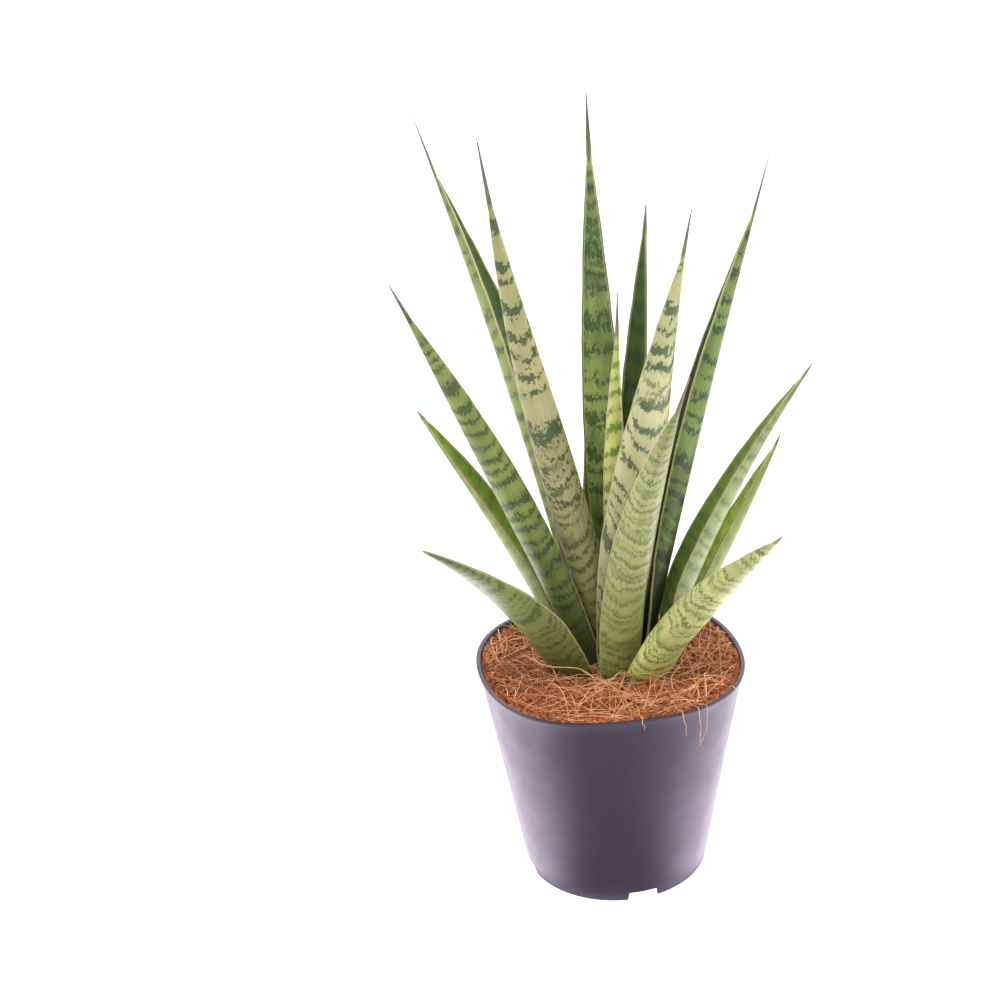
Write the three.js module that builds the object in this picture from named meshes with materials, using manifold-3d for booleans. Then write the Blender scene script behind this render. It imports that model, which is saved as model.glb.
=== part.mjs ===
// A potted pineapple snake plant: stiff channelled leaves standing in a thin nursery pot of coir.
// Lengths are in millimetres and angles in degrees. +Z is up and the pot stands on z = 0. The plant is
// modelled round the pot's axis, and at the end it is moved so that the origin is the middle of the
// base of its bounding box.

import * as THREE from 'three';
import { mergeVertices } from 'three/addons/utils/BufferGeometryUtils.js';
import Module from 'manifold-3d';

const wasm = await Module();
wasm.setup();

const { clamp, degToRad, radToDeg, lerp, smoothstep } = THREE.MathUtils;

// Pot: a thin moulded nursery pot of the 12 cm size, round at the foot and squeezed at the rim
const pot = {
  rimRadius: 60,
  footRadius: 43.3,
  height: 107,
  wall: 1.2,
  lipHeight: 2.4,
  lipProud: 0.9,
  footBand: 8,
  footStep: 0.5,
  floorHeight: 5,
  floorThickness: 1.4,
  oval: 0.049,
  corner: 0.029,
  cornerAzimuth: 56,
  sides: 56,
};

// Drain notches through the foot, with a round hole in the floor behind each
const drain = {
  count: 4,
  firstAzimuth: 16,
  notchWidth: 15,
  notchTopWidth: 13.5,
  notchHeight: 4.5,
  holeRadius: 4,
  holeDistance: 31,
  holeSides: 16,
  cutInside: 6,
  cutLength: 12,
};

// Coir: a lumpy dish that rises from the crown to just under the rim, a little higher at the front
const coir = {
  level: 99.8,
  frontRise: 0.8,
  wallRise: 4.8,
  lump: 0.7,
  lumpLength: 9,
  ringShares: [0.93, 0.84, 0.72, 0.48, 0.24],
  wallGap: 0.35,
  leafGap: 0.8,
  holeBelow: 2,
  holeAbove: 10,
};

// Crown: where the leaves come together at the level of the coir, with their heels sunk below it
const crown = { x: 2, y: 12, level: 101, heelDepth: 16, heelSteps: 2 };

// Rhizome: the knob of underground stem under the crown, with a few thick roots. Its outline goes up
// from the bottom in shares of its radius and height.
const rhizome = {
  radius: 28,
  top: 84.5,
  height: 23,
  outline: [[0.5, 0.06], [0.88, 0.35], [1, 0.7], [0.97, 1]],
  sides: 24,
  gap: 0.35,
};

// Roots: each starts inside the knob and runs down and out to its tip
const root = {
  count: 6,
  radius: 1.8,
  sides: 6,
  steps: 5,
  startDistance: 16,
  tipDistance: 25,
  tipHeight: 18,
  twist: 14,
};

// Blade: what every leaf shares. It is widest part of the way up and ends in a stiff needle.
const blade = {
  soilWidthShare: 0.66,
  thickness: 2.8,
  tipThicknessShare: 0.5,
  marginThinning: 0.8,
  leastThickness: 1.35,
  leastThicknessShare: 0.35,
  fullThicknessWidth: 6,
  thicknessPerRadius: 1.5,
  needleWidth: 2.4,
  needlePointWidth: 0.8,
  shoulderWidth: 2,
  shoulderLength: 5,
  taperPower: 1.7,
  steepestChannel: 80,
  leastSoilRadius: 4,
  openingShare: 0.3,
  closingShare: 0.75,
  arcSteps: 6,
  curveStep: 2,
};

// Where a leaf has its rings, as shares of its length from the coir to the root of the needle
const ringShares = [0, 0.12, 0.25, 0.38, 0.5, 0.62, 0.73, 0.83, 0.91, 0.965, 1];

const leafColours = { young: 0x9db05f, pale: 0xa8b083, mid: 0x7f9a55, deep: 0x5d7a45 };

// Leaves. seat is the radius and azimuth at which a leaf leaves the crown, bearing the azimuth that it
// leans to at the coir and how far that swings by its tip, lean its angle from upright at coir and tip,
// roll its turn about its own length at coir and tip, and fold half the angle of its channel.
const leaves = [
  { name: 'leaf_left_back_tall', colour: 'mid', length: 269, width: 29, widest: 0.48, needle: 27,
    seat: [10.5, 136], bearing: [152.5, 1.5], lean: [15.5, 20], roll: [-29, 33], fold: 84 },
  { name: 'leaf_left_front_pale', colour: 'pale', length: 279, width: 26.5, widest: 0.26, needle: 32,
    seat: [6.5, -133], bearing: [-151.5, 12], lean: [13.5, 9], roll: [13, 71], fold: 84 },
  { name: 'leaf_left_banded', colour: 'mid', length: 223, width: 23, widest: 0.38, needle: 18,
    seat: [13.5, 210], bearing: [200.5, -8.5], lean: [19.5, 24], roll: [39, 66], fold: 84 },
  { name: 'leaf_left_back_low', colour: 'mid', length: 138, width: 22.5, widest: 0.4, needle: 5,
    seat: [22.5, 169], bearing: [160.5, -0.5], lean: [24, 36], roll: [30, -16], fold: 84 },
  { name: 'leaf_left_front_low', colour: 'mid', length: 135, width: 30, widest: 0.36, needle: 2,
    seat: [24.5, 218], bearing: [222, 5.5], lean: [32, 49], roll: [29, 2], fold: 52 },
  { name: 'leaf_back_tallest', colour: 'deep', length: 270, width: 20.5, widest: 0.34, needle: 28,
    seat: [6, 61], bearing: [107, -7.5], lean: [9, 2], roll: [-11, -12], fold: 38 },
  { name: 'leaf_centre_young', colour: 'young', length: 190, width: 13.5, widest: 0.48, needle: 22,
    seat: [4.5, -38], bearing: [-50, -1.5], lean: [0, 3.5], roll: [-28, 14], fold: 58 },
  { name: 'leaf_back_dark', colour: 'deep', length: 217, width: 17.5, widest: 0.48, needle: 13,
    seat: [12, 56], bearing: [58, 0.5], lean: [7.5, 7.5], roll: [-3, -8], fold: 61 },
  { name: 'leaf_front_wide', colour: 'pale', length: 246, width: 35.5, widest: 0.3, needle: 24,
    seat: [12, -73], bearing: [-39.5, -2.5], lean: [9, 13], roll: [-25, 0], fold: 52 },
  { name: 'leaf_right_tall', colour: 'mid', length: 257, width: 33.5, widest: 0.42, needle: 28,
    seat: [15.5, 6], bearing: [-7, -0.5], lean: [12, 14.5], roll: [15, -3], fold: 81 },
  { name: 'leaf_front_fine_banded', colour: 'pale', length: 194, width: 29, widest: 0.34, needle: 22,
    seat: [17, -81], bearing: [-60.5, -2], lean: [13.5, 28.5], roll: [-7, 4], fold: 84 },
  { name: 'leaf_right_back_arching', colour: 'deep', length: 160, width: 32.5, widest: 0.26, needle: 8,
    seat: [23, -9], bearing: [19, 1], lean: [20, 38], roll: [-14, -22], fold: 77 },
  { name: 'leaf_right_back_short', colour: 'mid', length: 117, width: 25, widest: 0.32, needle: 6,
    seat: [27, 6], bearing: [24, 2.5], lean: [34.5, 27], roll: [-10, -23], fold: 84 },
  { name: 'leaf_right_front_low', colour: 'pale', length: 120, width: 28, widest: 0.4, needle: 4,
    seat: [26, -60], bearing: [-29, -6], lean: [35.5, 40], roll: [-48, -29], fold: 81 },
  { name: 'leaf_back_mid', colour: 'deep', length: 146, width: 20, widest: 0.38, needle: 6,
    seat: [16, 106], bearing: [88, 0], lean: [11, 22.5], roll: [0, -1], fold: 60 },
  { name: 'leaf_back_low_curled', colour: 'deep', length: 92, width: 24, widest: 0.38, needle: 3,
    seat: [20, 80], bearing: [78, 0], lean: [21.5, 62], roll: [-3, 0], fold: 60 },
];

// The direction of a line at an angle from upright, towards an azimuth
function leaning(lean, azimuth) {
  const [tilt, turn] = [degToRad(lean), degToRad(azimuth)];
  return new THREE.Vector3(
    Math.sin(tilt) * Math.cos(turn),
    Math.sin(tilt) * Math.sin(turn),
    Math.cos(tilt),
  );
}

// A point at a radius, azimuth and height
function polar(radius, azimuth, height) {
  return leaning(90, azimuth).multiplyScalar(radius).setZ(height);
}

// The solid of a closed geometry, with its shared corners merged and its empty triangles dropped
function solidOf(geometry) {
  const bare = geometry.clone();
  bare.deleteAttribute('normal');
  bare.deleteAttribute('uv');
  const merged = mergeVertices(bare, 1e-4);
  const corners = merged.getIndex().array;
  const kept = [];
  for (let i = 0; i < corners.length; i += 3) {
    const [a, b, c] = corners.slice(i, i + 3);
    if (a !== b && b !== c && c !== a) {
      kept.push(a, b, c);
    }
  }
  return new wasm.Manifold(new wasm.Mesh({
    numProp: 3,
    vertProperties: new Float32Array(merged.getAttribute('position').array),
    triVerts: new Uint32Array(kept),
  }));
}

// The geometry of a solid
function geometryOf(solid) {
  const mesh = solid.getMesh();
  const geometry = new THREE.BufferGeometry();
  geometry.setAttribute('position', new THREE.BufferAttribute(mesh.vertProperties, 3));
  geometry.setIndex(new THREE.BufferAttribute(mesh.triVerts, 1));
  return geometry;
}

// Turns a [radius, height] profile round the Z axis
function turned(profile, sides) {
  const points = profile.map(([radius, height]) => new THREE.Vector2(radius, height));
  const geometry = new THREE.LatheGeometry(points, sides);
  geometry.rotateX(Math.PI / 2);
  return geometry;
}

// Pushes a round geometry into the pot's section, which goes from round at the foot to oval with four
// soft corners at the rim
function squeezed(geometry) {
  const position = geometry.getAttribute('position');
  for (let i = 0; i < position.count; i += 1) {
    const azimuth = Math.atan2(position.getY(i), position.getX(i));
    const corner = pot.corner * Math.cos(4 * (azimuth - degToRad(pot.cornerAzimuth)));
    const share = position.getZ(i) / pot.height;
    const scale = 1 + share * (pot.oval * Math.cos(2 * azimuth) + corner);
    position.setXY(i, position.getX(i) * scale, position.getY(i) * scale);
  }
  return geometry;
}

// Outer radius of the pot's wall at a height, before the squeeze and without the step at the foot
function wallRadius(height) {
  return lerp(pot.footRadius, pot.rimRadius, height / pot.height);
}

function makePot() {
  const floorTop = pot.floorHeight + pot.floorThickness;
  const lipBase = pot.height - pot.lipHeight;
  const middle = pot.height / 2;
  let shell = solidOf(squeezed(turned([
    [0, pot.floorHeight],
    [wallRadius(pot.floorHeight) - pot.footStep - pot.wall, pot.floorHeight],
    [wallRadius(0) - pot.footStep - pot.wall, 0],
    [wallRadius(0) - pot.footStep, 0],
    [wallRadius(pot.footBand) - pot.footStep, pot.footBand - pot.footStep],
    [wallRadius(pot.footBand), pot.footBand],
    [wallRadius(middle), middle],
    [wallRadius(lipBase), lipBase],
    [wallRadius(lipBase) + pot.lipProud, lipBase + pot.lipProud / 2],
    [pot.rimRadius + pot.lipProud, pot.height - pot.lipProud / 2],
    [pot.rimRadius, pot.height],
    [pot.rimRadius - pot.wall, pot.height],
    [wallRadius(middle) - pot.wall, middle],
    [wallRadius(floorTop) - pot.footStep - pot.wall, floorTop],
    [0, floorTop],
  ], pot.sides)));
  for (let i = 0; i < drain.count; i += 1) {
    const azimuth = drain.firstAzimuth + i * 360 / drain.count;
    shell = shell.subtract(notchCutter(azimuth)).subtract(holeCutter(azimuth));
  }
  return geometryOf(shell);
}

// A tapered bar that runs outwards through the foot's skirt
function notchCutter(azimuth) {
  const below = -1;
  const outline = new THREE.Shape([
    new THREE.Vector2(-drain.notchWidth / 2, below),
    new THREE.Vector2(drain.notchWidth / 2, below),
    new THREE.Vector2(drain.notchTopWidth / 2, drain.notchHeight),
    new THREE.Vector2(-drain.notchTopWidth / 2, drain.notchHeight),
  ]);
  const cutter = new THREE.ExtrudeGeometry(outline, { depth: drain.cutLength, bevelEnabled: false });
  cutter.rotateX(Math.PI / 2);
  cutter.rotateZ(Math.PI / 2);
  cutter.translate(pot.footRadius - drain.cutInside, 0, 0);
  cutter.rotateZ(degToRad(azimuth));
  return solidOf(cutter);
}

// An upright pin through the floor
function holeCutter(azimuth) {
  const length = 4 * pot.floorThickness;
  const cutter = new THREE.CylinderGeometry(drain.holeRadius, drain.holeRadius, length, drain.holeSides);
  cutter.rotateX(Math.PI / 2);
  const height = pot.floorHeight + pot.floorThickness / 2;
  const place = polar(drain.holeDistance, azimuth, height);
  cutter.translate(place.x, place.y, place.z);
  return solidOf(cutter);
}

// Width of a leaf at a distance along it from the coir
function bladeWidth(leaf, distance) {
  const left = leaf.length - distance;
  const share = distance / leaf.length;
  if (share < leaf.widest) {
    const rise = Math.sin(Math.PI / 2 * Math.max(share, 0) / leaf.widest);
    return leaf.width * lerp(blade.soilWidthShare, 1, rise);
  }
  const tapering = leaf.length * (1 - leaf.widest) - leaf.needle;
  const gone = 1 - clamp((left - leaf.needle) / tapering, 0, 1);
  const shoulder = blade.shoulderWidth * smoothstep(left - leaf.needle, 0, blade.shoulderLength);
  const width = leaf.width * (1 - gone ** blade.taperPower) + shoulder * gone ** 2;
  const needleShare = clamp(left / leaf.needle, 0, 1);
  return Math.max(width, lerp(blade.needlePointWidth, blade.needleWidth, needleShare));
}

// Half the angle of a leaf's channel: it wraps the crown at the coir, has the leaf's own fold along the
// blade, and closes up at the needle
function channelAngle(leaf, share) {
  const soilRadius = Math.max(leaf.seat[0], blade.leastSoilRadius);
  const wrapped = radToDeg(leaf.width * blade.soilWidthShare / 2 / soilRadius);
  const start = Math.min(wrapped, blade.steepestChannel);
  const open = lerp(start, leaf.fold, smoothstep(share, 0, blade.openingShare));
  const closing = clamp((share - blade.closingShare) / (1 - blade.closingShare), 0, 1) ** 2;
  return degToRad(lerp(open, blade.steepestChannel, closing));
}

// How a leaf leans at a distance along it: below the coir its heel bends back to upright
function pose(leaf, distance) {
  const share = Math.max(distance, 0) / leaf.length;
  const heel = clamp(1 + distance / crown.heelDepth, 0, 1);
  const lean = heel * lerp(leaf.lean[0], leaf.lean[1], share);
  const bearing = leaf.bearing[0] + share * leaf.bearing[1];
  const roll = lerp(leaf.roll[0], leaf.roll[1], share);
  const along = leaning(lean, bearing);
  const inward = leaning(lean + 90, bearing).negate().applyAxisAngle(along, degToRad(roll));
  const across = new THREE.Vector3().crossVectors(along, inward);
  return { along, inward, across };
}

// A point on a leaf's centre line, stepped out from where the leaf leaves the crown
function centre(leaf, distance) {
  const seat = polar(leaf.seat[0], leaf.seat[1], crown.level);
  const point = seat.add(new THREE.Vector3(crown.x, crown.y, 0));
  const steps = Math.ceil(Math.abs(distance) / blade.curveStep);
  for (let i = 0; i < steps; i += 1) {
    point.addScaledVector(pose(leaf, distance * (i + 0.5) / steps).along, distance / steps);
  }
  return point;
}

// One section of a leaf: round its outer face and back along its inner face, swollen for a cutter
function leafRing(leaf, distance, swell = 0) {
  const share = Math.max(distance, 0) / leaf.length;
  const width = bladeWidth(leaf, distance);
  const half = channelAngle(leaf, share);
  const radius = width / 2 / half;
  const full = blade.thickness * lerp(1, blade.tipThicknessShare, share);
  const slim = clamp(width / blade.fullThicknessWidth, blade.leastThicknessShare, 1);
  const wanted = Math.max(full * slim, blade.leastThickness);
  const keel = Math.min(wanted, blade.thicknessPerRadius * radius);
  const middle = centre(leaf, distance);
  const { inward, across } = pose(leaf, distance);
  const facePoint = (side, step) => {
    const place = 2 * step / blade.arcSteps - 1;
    const thickness = keel * Math.sqrt(1 - blade.marginThinning * place ** 2);
    const angle = place * (half + swell / radius);
    const reach = radius + side * (thickness / 2 + swell);
    return middle.clone()
      .addScaledVector(across, reach * Math.sin(angle))
      .addScaledVector(inward, radius - reach * Math.cos(angle));
  };
  const steps = Array.from({ length: blade.arcSteps + 1 }, (_, step) => step);
  const outer = steps.map((step) => facePoint(1, step)).reverse();
  const inner = steps.map((step) => facePoint(-1, step));
  return [...outer, ...inner];
}

// A closed skin up through rings that run anticlockwise, with strips across its two ends
function loft(rings) {
  const count = rings[0].length;
  const last = (rings.length - 1) * count;
  const corners = [];
  for (let base = 0; base < last; base += count) {
    for (let i = 0; i < count; i += 1) {
      const next = (i + 1) % count;
      corners.push(base + i, base + next, base + count + next);
      corners.push(base + i, base + count + next, base + count + i);
    }
  }
  for (let i = 0; i < count / 2 - 1; i += 1) {
    const back = count - 1 - i;
    corners.push(i, back - 1, i + 1, i, back, back - 1);
    corners.push(last + i, last + i + 1, last + back - 1, last + i, last + back - 1, last + back);
  }
  const geometry = new THREE.BufferGeometry().setFromPoints(rings.flat());
  geometry.setIndex(corners);
  return geometry;
}

function makeLeaf(leaf) {
  const distances = [];
  for (let step = crown.heelSteps; step > 0; step -= 1) {
    distances.push(-crown.heelDepth * step / crown.heelSteps);
  }
  distances.push(...ringShares.map((share) => share * (leaf.length - leaf.needle)), leaf.length);
  return loft(distances.map((distance) => leafRing(leaf, distance)));
}

// The foot of a leaf, swollen and run on at both ends, to cut its hole in the coir
function leafCutter(leaf) {
  const bottom = -crown.heelDepth - coir.holeBelow;
  const distances = [bottom, -crown.heelDepth / 2, 0, coir.holeAbove];
  return solidOf(loft(distances.map((distance) => leafRing(leaf, distance, coir.leafGap))));
}

// A squat knob with a flat top that the heels stand over, and thick roots running down and out
function rhizomeSolid(swell) {
  const bottom = rhizome.top - rhizome.height - swell;
  const top = rhizome.top + swell;
  const side = rhizome.outline.map(([across, up]) => [
    across * rhizome.radius + swell,
    lerp(bottom, top, up),
  ]);
  const knob = turned([[0, bottom], ...side, [0, top]], rhizome.sides);
  knob.translate(crown.x, crown.y, 0);
  let body = solidOf(knob);
  for (let i = 0; i < root.count; i += 1) {
    body = body.add(rootSolid(i * 360 / root.count, swell));
  }
  return body;
}

function rootSolid(azimuth, swell) {
  const start = rhizome.top - rhizome.height / 2;
  const outline = new THREE.Shape();
  outline.absarc(0, 0, root.radius + swell, 0, 2 * Math.PI);
  const route = new THREE.CatmullRomCurve3([0, 0.5, 1].map((share) => polar(
    lerp(root.startDistance, root.tipDistance, share),
    azimuth + share * root.twist,
    lerp(start, root.tipHeight - swell, share),
  )));
  const rod = new THREE.ExtrudeGeometry(outline, {
    steps: root.steps,
    curveSegments: root.sides,
    extrudePath: route,
  });
  rod.translate(crown.x, crown.y, 0);
  return solidOf(rod);
}

// Height of the coir's top at a place: the rise to the wall and the front, and two crossed waves for the lumps
function coirHeight(x, y) {
  const nearWall = Math.hypot(x, y) / (pot.rimRadius - pot.wall);
  const rise = coir.wallRise * nearWall ** 4 - coir.frontRise * y / pot.rimRadius;
  const [u, v] = [x / coir.lumpLength, y / coir.lumpLength];
  const lumps = Math.sin(u + 0.4) * Math.cos(1.2 * v) + 0.6 * Math.sin(1.9 * v - 0.8 * u);
  return coir.level + rise + coir.lump * lumps;
}

function makeCoir() {
  const bottom = pot.floorHeight + pot.floorThickness + coir.wallGap;
  const middle = pot.height / 2;
  const inset = pot.wall + coir.wallGap;
  const edge = wallRadius(coir.level) - inset;
  const plug = turned([
    [0, bottom],
    [wallRadius(bottom) - pot.footStep - inset, bottom],
    [wallRadius(middle) - inset, middle],
    [edge, coir.level],
    ...coir.ringShares.map((share) => [share * edge, coir.level]),
    [0, coir.level],
  ], pot.sides);
  const position = plug.getAttribute('position');
  for (let i = 0; i < position.count; i += 1) {
    if (Math.abs(position.getZ(i) - coir.level) < 1e-3) {
      const height = coirHeight(position.getX(i), position.getY(i));
      const scale = (wallRadius(height) - inset) / edge;
      position.setXYZ(i, position.getX(i) * scale, position.getY(i) * scale, height);
    }
  }
  let body = solidOf(squeezed(plug)).subtract(rhizomeSolid(rhizome.gap));
  for (const leaf of leaves) {
    body = body.subtract(leafCutter(leaf));
  }
  const pieces = body.decompose().sort((a, b) => b.volume() - a.volume());
  return geometryOf(pieces[0]);
}

function piece(name, geometry, color, roughness) {
  geometry.computeVertexNormals();
  const material = new THREE.MeshStandardMaterial({ color, roughness, metalness: 0 });
  const mesh = new THREE.Mesh(geometry, material);
  mesh.name = name;
  return mesh;
}

const plant = new THREE.Group();
plant.add(piece('pot', makePot(), 0x4d4b57, 0.5));
plant.add(piece('coir', makeCoir(), 0xa5623a, 1));
plant.add(piece('rhizome', geometryOf(rhizomeSolid(0)), 0xc9ae7c, 0.8));
for (const leaf of leaves) {
  plant.add(piece(leaf.name, makeLeaf(leaf), leafColours[leaf.colour], 0.45));
}

// The origin goes to the middle of the base
const box = new THREE.Box3().setFromObject(plant);
const middle = box.getCenter(new THREE.Vector3());
plant.position.set(-middle.x, -middle.y, -box.min.z);

export default plant;
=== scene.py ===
# Potted pineapple snake plant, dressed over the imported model. Sizes are in millimetres and degrees.
import math
import random

import bmesh
import bpy
from mathutils import Matrix, Vector, noise


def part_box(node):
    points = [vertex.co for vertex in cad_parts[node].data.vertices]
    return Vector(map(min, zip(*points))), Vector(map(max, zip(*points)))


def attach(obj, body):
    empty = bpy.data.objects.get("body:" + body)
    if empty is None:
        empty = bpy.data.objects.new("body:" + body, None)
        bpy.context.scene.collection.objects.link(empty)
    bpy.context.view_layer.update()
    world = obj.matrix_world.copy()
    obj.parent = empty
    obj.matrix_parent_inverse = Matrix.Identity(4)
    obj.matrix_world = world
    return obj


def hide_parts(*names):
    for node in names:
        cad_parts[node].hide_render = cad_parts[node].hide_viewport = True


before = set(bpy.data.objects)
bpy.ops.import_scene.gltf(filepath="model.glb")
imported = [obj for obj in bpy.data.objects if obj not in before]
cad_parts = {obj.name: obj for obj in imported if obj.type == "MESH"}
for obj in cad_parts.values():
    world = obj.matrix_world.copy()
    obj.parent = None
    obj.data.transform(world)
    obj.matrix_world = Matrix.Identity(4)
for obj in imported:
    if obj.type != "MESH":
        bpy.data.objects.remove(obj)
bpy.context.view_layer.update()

mm = 0.001
potLow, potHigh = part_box("pot")
potAxis = Vector(((potLow.x + potHigh.x) / 2, (potLow.y + potHigh.y) / 2, 0))  # the rim is even both ways


# Small helpers

def clamp(value, low=0.0, high=1.0):
    return max(low, min(high, value))


def lerp(start, end, share):
    return start + (end - start) * share


def smooth(value, start, end):
    share = clamp((value - start) / (end - start))
    return share * share * (3 - 2 * share)


def leaning(lean, azimuth):  # the direction of a line at an angle from upright
    tilt, turn = math.radians(lean), math.radians(azimuth)
    return Vector((math.sin(tilt) * math.cos(turn), math.sin(tilt) * math.sin(turn), math.cos(tilt)))


def polar(radius, azimuth, height):
    angle = math.radians(azimuth)
    return Vector((radius * math.cos(angle), radius * math.sin(angle), height))


def colour(hexCode):  # an sRGB hex colour as Blender's linear one
    parts = [int(hexCode[i:i + 2], 16) / 255 for i in (1, 3, 5)]
    return tuple(p / 12.92 if p <= 0.04045 else ((p + 0.055) / 1.055) ** 2.4 for p in parts) + (1.0,)


def addNode(tree, kind, inputs=None, **settings):  # a node stands for its first live output
    made = tree.nodes.new("ShaderNode" + kind)
    for key, value in settings.items():
        setattr(made, key, value)
    for key, value in (inputs or {}).items():
        if isinstance(value, bpy.types.Node):
            value = next(output for output in value.outputs if output.enabled)
        if isinstance(value, bpy.types.NodeSocket):
            tree.links.new(value, made.inputs[key])
        else:
            made.inputs[key].default_value = value
    return made


def newMaterial(name):  # an empty material, with its node tree
    material = bpy.data.materials.new(name)
    material.use_nodes = True
    material.node_tree.nodes.clear()
    return material, material.node_tree


def addGrains(tree, place, grains, unit=mm, shift=(0, 0, 0), roughness=0.6):
    # noise patterns from their grain's size each way and their detail, each moved on from the one before
    made = {}
    for i, (key, (sizes, detail)) in enumerate(grains.items()):
        scale = [1 / (size * unit) for size in sizes]
        start = [step * i for step in shift]
        moved = addNode(tree, "Mapping", {0: place, "Location": start, "Scale": scale})
        made[key] = addNode(tree, "TexNoise", {"Vector": moved, "Scale": 1, "Detail": detail,
                                               "Roughness": roughness})
    return made


def paintOver(tree, paint, layers):
    # each layer is a value, where its mask starts and is full, its greatest strength and its colour
    for value, start, end, most, hexCode in layers:
        mask = addNode(tree, "MapRange", {"Value": value, "From Min": start, "From Max": end,
                                          "To Max": most}, interpolation_type="SMOOTHSTEP")
        paint = addNode(tree, "Mix", {0: mask, 6: paint, 7: colour(hexCode)}, data_type="RGBA")
    return paint


def addObject(name, data):
    made = bpy.data.objects.new(name, data)
    bpy.context.scene.collection.objects.link(made)
    return made


def meshFrom(name, bm):
    mesh = bpy.data.meshes.new(name)
    bm.to_mesh(mesh)
    bm.free()
    return mesh


def finalMesh(made):  # an object's mesh with its modifiers or its curve's tube
    bpy.context.view_layer.update()
    return bpy.data.meshes.new_from_object(made.evaluated_get(bpy.context.evaluated_depsgraph_get()))


def inScene(point):  # from millimetres about the pot's axis to the scene's metres
    return (point + potAxis / mm) * mm


def addPiece(name, bm, material, slot=None, replaced=(), rounded=True):
    for face in bm.faces:
        face.smooth = rounded
    piece = addObject(name, meshFrom(name, bm))
    piece.data.materials.append(material)
    if slot:
        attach(piece, "root")
    if replaced:
        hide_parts(*replaced)
    return piece


# Camera: stood where the photo was taken from, measured from the pot's foot

photoCamera = {
    "distance": 1100, "height": 766, "lens": 98.6, "sensor": 36, "yaw": -2.45, "pitch": 27.5, "roll": -3.2,
}


def makeCamera():
    yaw, pitch, roll = (math.radians(photoCamera[k]) for k in ("yaw", "pitch", "roll"))
    forward = Vector((math.sin(yaw) * math.cos(pitch), math.cos(yaw) * math.cos(pitch), -math.sin(pitch)))
    level = Vector((math.cos(yaw), -math.sin(yaw), 0))
    upright = level.cross(forward)
    right = math.cos(roll) * level + math.sin(roll) * upright
    up = right.cross(forward)
    camera = addObject("camera", bpy.data.cameras.new("camera"))
    camera.data.lens = photoCamera["lens"]
    camera.data.sensor_width = photoCamera["sensor"]
    place = potAxis + Vector((0, -photoCamera["distance"], photoCamera["height"])) * mm
    camera.matrix_world = Matrix.Translation(place) @ Matrix((right, up, -forward)).transposed().to_4x4()
    bpy.context.scene.camera = camera


makeCamera()
print("camera made")


# Leaves: the same sizes as in the model. widest is the share of the length at which a leaf is widest, needle
# the length of its dry tip and fold half its channel's angle. seat is the radius and azimuth at which it
# leaves the crown, bearing the azimuth it leans to and its swing, and lean and roll go from coir to tip.

crown = {"x": 2, "y": 12, "level": 101, "heelDepth": 16}

blade = {
    "soilWidthShare": 0.66, "thickness": 2.8, "tipThicknessShare": 0.5, "marginThinning": 0.8,
    "leastThickness": 1.35, "leastThicknessShare": 0.35, "fullThicknessWidth": 6, "thicknessPerRadius": 1.5,
    "needleWidth": 2.4, "needlePointWidth": 0.4, "shoulderWidth": 2, "shoulderLength": 5, "taperPower": 1.7,
    "steepestChannel": 80, "leastSoilRadius": 4, "openingShare": 0.3, "closingShare": 0.75,
    "around": 56, "rowLength": 2.4, "centreStep": 2, "marginRounding": 0.25, "marginWave": 0.35,
    "marginWaveLength": 11, "marginWaveFocus": 6, "fullWaveWidth": 12, "waveSeed": 7.3,
}

# What the skin's pattern follows, in millimetres: across from the middle, along from the crown, the sag of a
# band, the distance from the margin, 1 on the inner face and 0 on the outer, and the distance from the tip
leafMarks = ("across", "along", "sag", "edge", "inner", "tip")

leafMeasures = ("length", "width", "widest", "needle", "fold", "seat", "bearing", "lean", "roll")
leafRows = {
    "leaf_left_back_tall": (269, 29, 0.48, 27, 84, (10.5, 136), (152.5, 1.5), (15.5, 20), (-29, 33)),
    "leaf_left_front_pale": (279, 26.5, 0.26, 32, 84, (6.5, -133), (-151.5, 12), (13.5, 9), (13, 71)),
    "leaf_left_banded": (223, 23, 0.38, 18, 84, (13.5, 210), (200.5, -8.5), (19.5, 24), (39, 66)),
    "leaf_left_back_low": (138, 22.5, 0.4, 5, 84, (22.5, 169), (160.5, -0.5), (24, 36), (30, -16)),
    "leaf_left_front_low": (135, 30, 0.36, 2, 52, (24.5, 218), (222, 5.5), (32, 49), (29, 2)),
    "leaf_back_tallest": (270, 20.5, 0.34, 28, 38, (6, 61), (107, -7.5), (9, 2), (-11, -12)),
    "leaf_centre_young": (190, 13.5, 0.48, 22, 58, (4.5, -38), (-50, -1.5), (0, 3.5), (-28, 14)),
    "leaf_back_dark": (217, 17.5, 0.48, 13, 61, (12, 56), (58, 0.5), (7.5, 7.5), (-3, -8)),
    "leaf_front_wide": (246, 35.5, 0.3, 24, 52, (12, -73), (-39.5, -2.5), (9, 13), (-25, 0)),
    "leaf_right_tall": (257, 33.5, 0.42, 28, 81, (15.5, 6), (-7, -0.5), (12, 14.5), (15, -3)),
    "leaf_front_fine_banded": (194, 29, 0.34, 22, 84, (17, -81), (-60.5, -2), (13.5, 28.5), (-7, 4)),
    "leaf_right_back_arching": (160, 32.5, 0.26, 8, 77, (23, -9), (19, 1), (20, 38), (-14, -22)),
    "leaf_right_back_short": (117, 25, 0.32, 6, 84, (27, 6), (24, 2.5), (34.5, 27), (-10, -23)),
    "leaf_right_front_low": (120, 28, 0.4, 4, 81, (26, -60), (-29, -6), (35.5, 40), (-48, -29)),
    "leaf_back_mid": (146, 20, 0.38, 6, 60, (16, 106), (88, 0), (11, 22.5), (0, -1)),
    "leaf_back_low_curled": (92, 24, 0.38, 3, 60, (20, 80), (78, 0), (21.5, 62), (-3, 0)),
}
leaves = {name: dict(zip(leafMeasures, row)) for name, row in leafRows.items()}


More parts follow.
